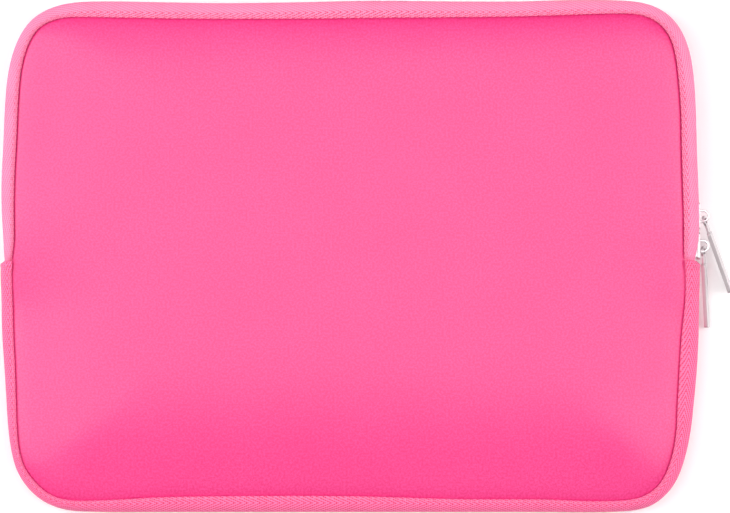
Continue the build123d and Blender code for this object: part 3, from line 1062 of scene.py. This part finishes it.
def plated_metal(name):
    """Bright plated metal with fine handling marks."""
    material = bpy.data.materials.new(name)
    material.use_nodes = True
    board = Board(material.node_tree)
    shader = material.node_tree.nodes["Principled BSDF"]
    place = board.add("ShaderNodeTexCoord").outputs["Object"]
    stretched = board.add(
        "ShaderNodeMapping", {"Vector": place, "Scale": (900.0, 120.0, 900.0)}
    ).outputs["Vector"]
    marks = board.noise(stretched, 1.0, 6.0, 0.65)
    wear = use_group(board, wear_group(), {"Place": place, "Patch scale": 260.0, "Speck scale": 3000.0})
    tone = board.maths("MULTIPLY", wear.outputs["Wear"], 0.35)
    dull = tuple(c * 0.86 for c in colours().metal[:3]) + (1,)
    board.tree.links.new(board.mix(tone, tuple(colours().metal), dull), shader.inputs["Base Color"])
    rough = board.maths("MULTIPLY_ADD", wear.outputs["Wear"], 0.1, board.between(marks, 0.3, 0.7, 0.3, 0.4))
    board.tree.links.new(rough, shader.inputs["Roughness"])
    shader.inputs["Metallic"].default_value = 1.0
    bump_to(board, shader, marks, 0.03, 0.00003)
    return material


# ---------------------------------------------------------------- hiding frame nodes and baking pieces


def bend_at_fold(piece):
    """Bakes a piece's placement into its mesh."""
    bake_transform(piece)


def declare(nodes):
    """Hides the frame nodes that a piece stands for."""
    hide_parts(*nodes)


# ---------------------------------------------------------------- operators


class SLEEVE_OT_stage(bpy.types.Operator):
    """Make the floor, the soft lights and the camera straight above the sleeve"""

    bl_idname = "sleeve.stage"
    bl_label = "Floor, lights and camera"
    bl_options = {"REGISTER", "UNDO"}

    def execute(self, context):
        scene = bpy.context.scene
        scene.view_settings.view_transform = "Standard"
        camera_data = bpy.data.cameras.new("camera")
        camera = bpy.data.objects.new("camera", camera_data)
        scene.collection.objects.link(camera)
        view_width = 0.3869
        height = 2.4
        camera.location = (0.00795, 0.0, height)
        camera_data.sensor_width = 36
        camera_data.lens = 36 * (height - MIDDLE_Z * MM) / view_width
        camera_data.clip_end = 20
        scene.camera = camera

        mesh = bpy.data.meshes.new("floor")
        half = 4.0
        corners = [(-half, -half, 0), (half, -half, 0), (half, half, 0), (-half, half, 0)]
        mesh.from_pydata(corners, [], [(0, 1, 2, 3)])
        floor = bpy.data.objects.new("floor", mesh)
        scene.collection.objects.link(floor)
        material = bpy.data.materials.new("pale floor")
        material.use_nodes = True
        board = Board(material.node_tree)
        shader = material.node_tree.nodes["Principled BSDF"]
        place = board.add("ShaderNodeTexCoord").outputs["Object"]
        grain = board.noise(place, 40.0, 3.0)
        pale = tuple(colours().floor)
        board.tree.links.new(
            board.mix(grain, tuple(c * 0.995 for c in pale[:3]) + (1,), pale), shader.inputs["Base Color"]
        )
        shader.inputs["Roughness"].default_value = 0.9
        shader.inputs["Specular IOR Level"].default_value = 0.1
        shader.inputs["Emission Color"].default_value = (1, 1, 1, 1)
        shader.inputs["Emission Strength"].default_value = 0.13
        mesh.materials.append(material)

        def soft_light(name, place, target, size_x, size_y, power):
            data = bpy.data.lights.new(name, "AREA")
            data.shape = "RECTANGLE"
            data.size = size_x
            data.size_y = size_y
            data.energy = power
            light = bpy.data.objects.new(name, data)
            light.location = place
            way = Vector(target) - Vector(place)
            light.rotation_mode = "QUATERNION"
            light.rotation_quaternion = way.to_track_quat("-Z", "Y")
            scene.collection.objects.link(light)

        soft_light("overhead strip", (0, 0.06, 1.6), (0, 0.03, 0), 3.4, 0.34, 13)
        soft_light("left fill", (-0.5, 0.22, 1.6), (-0.1, 0.05, 0), 0.5, 0.5, 1.3)
        soft_light("right fill", (0.85, 0.1, 1.5), (0.1, 0.05, 0), 0.45, 0.5, 1.2)
        soft_light("left softbox", (-1.5, 0.25, 0.9), (0, 0, 0), 1.2, 1.2, 17)
        soft_light("right softbox", (1.6, 0.05, 0.9), (0, 0, 0), 1.2, 1.2, 13)
        world = bpy.data.worlds.new("studio")
        world.use_nodes = True
        board = Board(world.node_tree)
        way = board.add("ShaderNodeTexCoord").outputs["Generated"]
        up = board.add("ShaderNodeSeparateXYZ", {0: way}).outputs[2]
        background = world.node_tree.nodes["Background"]
        world.node_tree.links.new(
            board.between(up, 0.1, 0.8, 0.05, 0.52), background.inputs["Strength"]
        )
        background.inputs["Color"].default_value = (1, 0.985, 0.985, 1)
        scene.world = world
        return {"FINISHED"}


class SLEEVE_OT_panels(bpy.types.Operator):
    """Make the two padded foam panels"""

    bl_idname = "sleeve.panels"
    bl_label = "Padded panels"
    bl_options = {"REGISTER", "UNDO"}

    def execute(self, context):
        foam = finish_named("knit foam", knit_foam)
        front = make_panel("front_panel", 1, CROWN_Z, foam)
        declare(["front_panel_body", "front_panel_flap"])
        bend_at_fold(front)
        back = make_panel("back_panel_pad", -1, BACK_CROWN_Z, foam)
        declare(["back_panel"])
        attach(back, "sleeve")
        return {"FINISHED"}


class SLEEVE_OT_linings(bpy.types.Operator):
    """Make the lining cloth of both panels"""

    bl_idname = "sleeve.linings"
    bl_label = "Linings"
    bl_options = {"REGISTER", "UNDO"}

    def execute(self, context):
        cloth = finish_named("brushed lining", brushed_lining)
        front = make_lining("front_lining", 1, CROWN_Z, cloth)
        declare(["front_lining_body", "front_lining_flap"])
        bend_at_fold(front)
        back = make_lining("back_lining_cloth", -1, BACK_CROWN_Z, cloth)
        declare(["back_lining"])
        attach(back, "sleeve")
        return {"FINISHED"}


# Bindings, in millimetres: how far the tape runs past the zip's end and sinks there, its
# inner leg, the pull of the stitches on its edge, and the folding tape's thickness share.
BINDING_PAST_END = 4.5
BINDING_END_SINK = 2.4
INNER_LEG = 8.2
ZIP_EDGE_PULL = 0.55
LOWER_EDGE_PULL = 0.3
FOLDED_SHARE = 0.9


def zip_side_binding(name, way, finish):
    """The rolled binding of one zipped edge."""
    pitch = sizes().stitch_pitch / MM
    tape = sizes().tape / MM
    seam = Seam(zip_knots(), pitch / 3)
    seam = seam.part(seam.at[:, 1] > ZIP_END_Y - BINDING_PAST_END)
    y = seam.at[:, 1]
    end = 1 - ramp(y, ZIP_END_Y - 3.5, ZIP_END_Y + 2.6)
    top = edge_top(y) + tape
    bottom = np.full(len(y), UPPER_LOW[2]) - 1.2 * ramp(-y, 0.4, 4.0)
    middle = edge_middle(y)
    top = top - end * BINDING_END_SINK
    edge = seam.width + saw_tooth(seam.along, pitch, ZIP_EDGE_PULL)
    sections = tape_sections(
        seam, top, bottom, middle, edge_round(y), INNER_LEG, tape * FOLDED_SHARE, edge, 0.3
    )
    return swept(name, seam, sections, finish, way)


class SLEEVE_OT_zip_bindings(bpy.types.Operator):
    """Make the rolled bindings of the two zipped edges"""

    bl_idname = "sleeve.zip_bindings"
    bl_label = "Zip-side bindings"
    bl_options = {"REGISTER", "UNDO"}

    def execute(self, context):
        finish = finish_named("rolled twill binding", rolled_twill_painted_highlight)
        front = zip_side_binding("front_binding", 1, finish)
        declare(["front_binding_ends", "front_binding_flap"])
        bend_at_fold(front)
        back = zip_side_binding("back_binding_tape", -1, finish)
        declare(["back_binding"])
        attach(back, "sleeve")
        return {"FINISHED"}


def end_inset(y):
    """How far the folded end of the lower binding is cut in at its outer corner."""
    return 2.0 * (1 - ramp(-y, -ZIP_END_Y - 0.1, -ZIP_END_Y + 2.2))


def wrap_sections(seam, proud, edge, thickness):
    """Sections of a tape folded round both pinched edges together."""
    y = seam.at[:, 1]
    rise = edge_top(y) + proud - MIDDLE_Z
    sections = tape_sections(
        seam, MIDDLE_Z + rise, MIDDLE_Z - rise, MIDDLE_Z, 7.0, edge.mean(), thickness, edge, 0.12, 0.85
    )
    sections[:, :, 0] += end_inset(y)[:, None] * np.clip(1 - sections[:, :, 0] / 6, 0, 1)
    return sections


class SLEEVE_OT_lower_binding(bpy.types.Operator):
    """Make the herringbone binding of the closed edges and its folded ends"""

    bl_idname = "sleeve.lower_binding"
    bl_label = "Lower binding and folded ends"
    bl_options = {"REGISTER", "UNDO"}

    def execute(self, context):
        finish = finish_named("herringbone binding", lower_twill_painted_shade)
        pitch = sizes().stitch_pitch / MM
        tape = sizes().tape / MM
        seam = Seam(lower_knots(), pitch / 3)
        lower = seam.part(seam.at[:, 1] < ZIP_END_Y - 1.6)
        edge = lower.width + saw_tooth(lower.along, pitch, LOWER_EDGE_PULL)
        sections = wrap_sections(lower, tape, edge, tape * FOLDED_SHARE)
        piece = swept("lower_binding_tape", lower, sections, finish)
        declare(["lower_binding"])
        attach(piece, "sleeve")

        for side, label in ((-1, "left"), (1, "right")):
            fine = Seam(lower_knots(), 0.35)
            keep = (fine.at[:, 1] > TAB_LOW[1] + 0.6) & (fine.at[:, 0] * side > 0)
            tab = fine.part(keep)
            y = tab.at[:, 1]
            fold = ramp(y, TAB_ROW_Y - 0.6, TAB_ROW_Y + 0.9)
            close = ramp(y, ZIP_END_Y - 0.9, ZIP_END_Y)
            row = np.exp(-(((y - TAB_ROW_Y) / 0.45) ** 2))
            proud = tape + 0.12 + 0.5 * fold - 0.4 * close - 0.3 * row
            sections = wrap_sections(tab, proud, tab.width + 0.35, 0.5)
            sections[:, :, 0] -= 0.3 * np.clip(1 - sections[:, :, 0] / 4, 0, 1) * fold[:, None]
            piece = swept(f"binding_end_{label}", tab, sections, finish)
            if side < 0:
                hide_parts("binding_end_tabs")
            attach(piece, "sleeve")
        return {"FINISHED"}


ZIP_TAPE_SECTION = [
    (10.0, 14.45), (8.0, 14.47), (6.0, 14.47), (4.4, 14.44), (3.5, 14.3), (3.0, 13.95),
    (2.82, 13.4), (2.8, 12.6), (2.8, 11.4), (3.05, 11.3), (3.3, 11.4), (3.32, 12.6),
    (3.4, 13.3), (3.7, 13.75), (4.5, 13.93), (6.0, 13.95), (8.0, 13.95), (10.0, 13.95),
]


def chain_seam(step):
    """The line that the zip follows, kept flat behind the sliders' run."""
    seam = Seam(zip_knots(), step)
    seam = seam.part(seam.at[:, 1] > ZIP_END_Y)
    seam.at[:, 0] = np.clip(seam.at[:, 0], -ZIP_HALF_LENGTH, ZIP_HALF_LENGTH)
    return seam


class SLEEVE_OT_zip_tapes(bpy.types.Operator):
    """Make the two woven zip tapes"""

    bl_idname = "sleeve.zip_tapes"
    bl_label = "Zip tapes"
    bl_options = {"REGISTER", "UNDO"}

    def execute(self, context):
        finish = finish_named("woven zip tape", zip_weave)
        seam = chain_seam(1.6)
        sections = np.broadcast_to(
            np.array(ZIP_TAPE_SECTION), (len(seam.at), len(ZIP_TAPE_SECTION), 2)
        ).copy()
        front = swept("front_zip_tape", seam, sections, finish)
        declare(["front_zip_tape_ends", "front_zip_tape_flap"])
        bend_at_fold(front)
        back = swept("back_zip_tape_weave", seam, sections, finish, way=-1)
        declare(["back_zip_tape"])
        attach(back, "sleeve")
        return {"FINISHED"}


def coil(name, way, shift, finish):
    """One half of the zip: a nylon wire wound in flattened turns along the tape."""
    pitch = sizes().tooth_pitch / MM
    per_turn = 12
    seam = chain_seam(pitch / per_turn)
    seam = seam.part(seam.at[:, 1] > STOP_HIGH[1] + 0.3)
    turn = 2 * math.pi * (seam.along / pitch + shift)
    inset_middle = 1.46
    inset_reach = 0.92
    height_middle = (COIL_LOW[2] + COIL_HIGH[2]) / 2 - 0.35
    height_reach = (COIL_HIGH[2] - COIL_LOW[2]) / 2
    inset = inset_middle + inset_reach * np.sign(np.cos(turn)) * np.abs(np.cos(turn)) ** 0.7
    height = height_middle + height_reach * np.sin(turn)
    centre = np.concatenate([seam.at + seam.across * inset[:, None], height[:, None]], axis=1)
    run = np.gradient(centre, axis=0)
    run /= np.linalg.norm(run, axis=1)[:, None]
    way_on = np.stack([seam.across[:, 1], -seam.across[:, 0], np.zeros(len(run))], axis=1)
    first = np.cross(run, way_on)
    first /= np.linalg.norm(first, axis=1)[:, None]
    second = np.cross(run, first)
    sides = 6
    radius = 0.34
    angle = np.arange(sides) * 2 * math.pi / sides
    points = (
        centre[:, None, :]
        + first[:, None, :] * radius * np.cos(angle)[None, :, None]
        + second[:, None, :] * radius * np.sin(angle)[None, :, None]
    ).reshape(-1, 3)
    i = np.arange(len(centre) - 1)[:, None] * sides
    j = np.arange(sides)[None, :]
    k = (j + 1) % sides
    faces = np.stack([i + j, i + k, i + sides + k, i + sides + j], axis=2).reshape(-1, 4).tolist()
    faces.append(list(range(sides)))
    faces.append(list(range((len(centre) - 1) * sides, len(centre) * sides)))
    weave = np.stack([np.repeat(seam.along, sides), np.tile(angle * radius, len(centre))], axis=1) * MM
    return new_piece(name, turned(points, way), faces, finish, weave)


class SLEEVE_OT_coils(bpy.types.Operator):
    """Make the two halves of the zip coil and the stops at their ends"""

    bl_idname = "sleeve.coils"
    bl_label = "Zip coils and stops"
    bl_options = {"REGISTER", "UNDO"}

    def execute(self, context):
        finish = finish_named("satin zip coil", satin_coil)
        front = coil("front_coil", 1, 0.0, finish)
        declare(["front_coil_ends", "front_coil_flap"])
        bend_at_fold(front)
        back = coil("back_coil_wire", -1, 0.5, finish)
        declare(["back_coil"])
        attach(back, "sleeve")
        fine = Seam(zip_knots(), 0.3)
        fine.at[:, 0] = np.clip(fine.at[:, 0], -ZIP_HALF_LENGTH, ZIP_HALF_LENGTH)
        for side, label in ((-1, "left"), (1, "right")):
            y = fine.at[:, 1]
            stop = fine.part((y > ZIP_END_Y) & (y < STOP_HIGH[1]) & (fine.at[:, 0] * side > 0))
            y = stop.at[:, 1]
            turn = np.arange(16) * 2 * math.pi / 16
            size = 0.8 + 0.2 * np.sqrt(np.clip(1 - ((y - y.mean()) / (np.ptp(y) / 2)) ** 4, 0, 1))
            half = np.array([1.15, (STOP_HIGH[2] - STOP_LOW[2]) / 2 - 0.1])
            shape = np.stack(
                [
                    np.sign(np.cos(turn)) * np.abs(np.cos(turn)) ** 0.5,
                    np.sign(np.sin(turn)) * np.abs(np.sin(turn)) ** 0.5,
                ],
                axis=1,
            ) * half
            sections = shape[None] * size[:, None, None] + np.array([1.46, MIDDLE_Z])
            piece = swept(f"zip_stop_{label}", stop, sections, finish)
            if side < 0:
                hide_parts("zip_end_stops")
            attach(piece, "sleeve")
        return {"FINISHED"}


def seam_stitches(name, seam, inset, height, way, finish):
    """A row of stitches that follows a seam."""
    pitch = sizes().stitch_pitch / MM
    count = int(seam.along[-1] / pitch)
    where = np.linspace(0, len(seam.at) - 1, count).round().astype(int)
    flat = seam.at[where] + seam.across[where] * inset[where][:, None]
    places = turned(np.concatenate([flat, height[where][:, None]], axis=1), way)
    run = np.stack([seam.across[where][:, 1], -seam.across[where][:, 0], np.zeros(count)], axis=1)
    up = np.tile([0.0, 0.0, float(way)], (count, 1))
    return stitch_row(name, places, run, up, pitch * 0.78, sizes().stitch_radius / MM, finish)


END_STITCH_PITCH = 1.5
STITCH_SETBACK = 1.1


class SLEEVE_OT_stitching(bpy.types.Operator):
    """Make the rows of stitches along the bindings and across their folded ends"""

    bl_idname = "sleeve.stitching"
    bl_label = "Stitching"
    bl_options = {"REGISTER", "UNDO"}

    def execute(self, context):
        finish = finish_named("twisted thread", twisted_thread)
        tape = sizes().tape / MM
        seam = Seam(zip_knots(), 0.4)
        seam = seam.part(seam.at[:, 1] > ZIP_END_Y + 1.0)
        inset = seam.width - STITCH_SETBACK
        height = edge_top(seam.at[:, 1]) + tape + 0.3
        front = seam_stitches("front_stitching", seam, inset, height, 1, finish)
        declare(["front_binding_thread_ends", "front_binding_thread_flap"])
        bend_at_fold(front)
        back = seam_stitches("back_stitching", seam, inset, height, -1, finish)
        declare(["back_binding_thread"])
        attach(back, "sleeve")

        seam = Seam(lower_knots(), 0.4)
        seam = seam.part(seam.at[:, 1] < TAB_LOW[1] - 0.5)
        inset = seam.width - STITCH_SETBACK
        height = edge_top(seam.at[:, 1]) + tape + 0.2
        rows = []
        for way, label in ((1, "front"), (-1, "back")):
            row = seam_stitches(f"lower_stitching_{label}", seam, inset, height, way, finish)
            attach(row, "sleeve")
            rows.append(row)
        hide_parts("lower_binding_thread")

        fine = Seam(lower_knots(), 0.2)
        places, runs = [], []
        for side in (-1, 1):
            near = np.argmin(np.abs(fine.at[:, 1] - TAB_ROW_Y) + 1000 * (fine.at[:, 0] * side < 0))
            width = fine.width[near]
            for n in range(int((width - 1.6) / END_STITCH_PITCH)):
                inset = END_STITCH_PITCH * (n + 1)
                flat = fine.at[near] + fine.across[near] * inset
                top = edge_top(TAB_ROW_Y) + tape + 0.2
                places.append((flat[0], flat[1] + side * 0.06 * n, top))
                runs.append((fine.across[near][0], fine.across[near][1] + 0.03 * side, 0))
        rows = stitch_row(
            "folded_end_stitching", np.array(places), np.array(runs),
            np.tile([0.0, 0.0, 1.0], (len(places), 1)), 1.25, 0.24, finish,
        )
        declare(["end_tab_thread"])
        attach(rows, "sleeve")
        return {"FINISHED"}


def softened(node, name, width, finish):
    """A copy of a metal node's shape with its tessellation merged and its edges rounded."""
    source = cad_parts[node]
    mesh = bpy.data.meshes.new(name)
    work = bmesh.new()
    work.from_mesh(source.data)
    bmesh.ops.remove_doubles(work, verts=work.verts, dist=1e-6)
    bmesh.ops.dissolve_limit(
        work, angle_limit=math.radians(0.6), verts=work.verts, edges=work.edges
    )
    sharp = [e for e in work.edges if e.is_manifold and e.calc_face_angle(0) > math.radians(32)]
    bmesh.ops.bevel(
        work, geom=sharp, offset=width, segments=3, profile=0.5, affect="EDGES",
        clamp_overlap=True, offset_type="OFFSET",
    )
    bmesh.ops.recalc_face_normals(work, faces=work.faces)
    work.to_mesh(mesh)
    work.free()
    mesh.shade_smooth()
    mesh.materials.clear()
    mesh.materials.append(finish)
    piece = bpy.data.objects.new(name, mesh)
    bpy.context.scene.collection.objects.link(piece)
    modifier = piece.modifiers.new("even shading", "WEIGHTED_NORMAL")
    modifier.keep_sharp = False
    return piece


class SLEEVE_OT_sliders(bpy.types.Operator):
    """Make the plated sliders, their bails and their pulls"""

    bl_idname = "sleeve.sliders"
    bl_label = "Sliders and pulls"
    bl_options = {"REGISTER", "UNDO"}

    def execute(self, context):
        metal = finish_named("plated zip metal", plated_metal)
        rounding_width = sizes().metal_round
        for which in ("lower", "upper"):
            for part, body, share in (
                ("slider_body", "slider", 1.0),
                ("slider_bail", "slider", 1.6),
                ("pull", "pull", 1.3),
            ):
                node = f"{which}_{part}"
                piece = softened(node, f"{node}_metal", rounding_width * share, metal)
                declare([node])
                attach(piece, f"{which}_{body}")
        return {"FINISHED"}


OPERATORS = (
    SLEEVE_OT_stage,
    SLEEVE_OT_panels,
    SLEEVE_OT_linings,
    SLEEVE_OT_zip_bindings,
    SLEEVE_OT_lower_binding,
    SLEEVE_OT_zip_tapes,
    SLEEVE_OT_coils,
    SLEEVE_OT_stitching,
    SLEEVE_OT_sliders,
)


class SLEEVE_PT_builder(bpy.types.Panel):
    """Sidebar panel that lists the sleeve's pieces and settings"""

    bl_label = "Laptop sleeve"
    bl_idname = "SLEEVE_PT_builder"
    bl_space_type = "VIEW_3D"
    bl_region_type = "UI"
    bl_category = "Sleeve"

    def draw(self, context):
        layout = self.layout
        for operator in OPERATORS:
            layout.operator(operator.bl_idname)
        for group in (context.scene.sleeve_sizes, context.scene.sleeve_colours):
            box = layout.box()
            for name in group.__annotations__:
                box.prop(group, name)


CLASSES = (SleeveSizes, SleeveColours) + OPERATORS + (SLEEVE_PT_builder,)


def register():
    """Registers the settings, operators and panel."""
    for item in CLASSES:
        bpy.utils.register_class(item)
    bpy.types.Scene.sleeve_sizes = PointerProperty(type=SleeveSizes)
    bpy.types.Scene.sleeve_colours = PointerProperty(type=SleeveColours)


def unregister():
    """Removes what register added."""
    del bpy.types.Scene.sleeve_colours
    del bpy.types.Scene.sleeve_sizes
    for item in reversed(CLASSES):
        bpy.utils.unregister_class(item)


def main():
    register()
    for operator in OPERATORS:
        area, name = operator.bl_idname.split(".")
        getattr(getattr(bpy.ops, area), name)()
    bpy.context.view_layer.update()


if __name__ == "__main__":
    main()
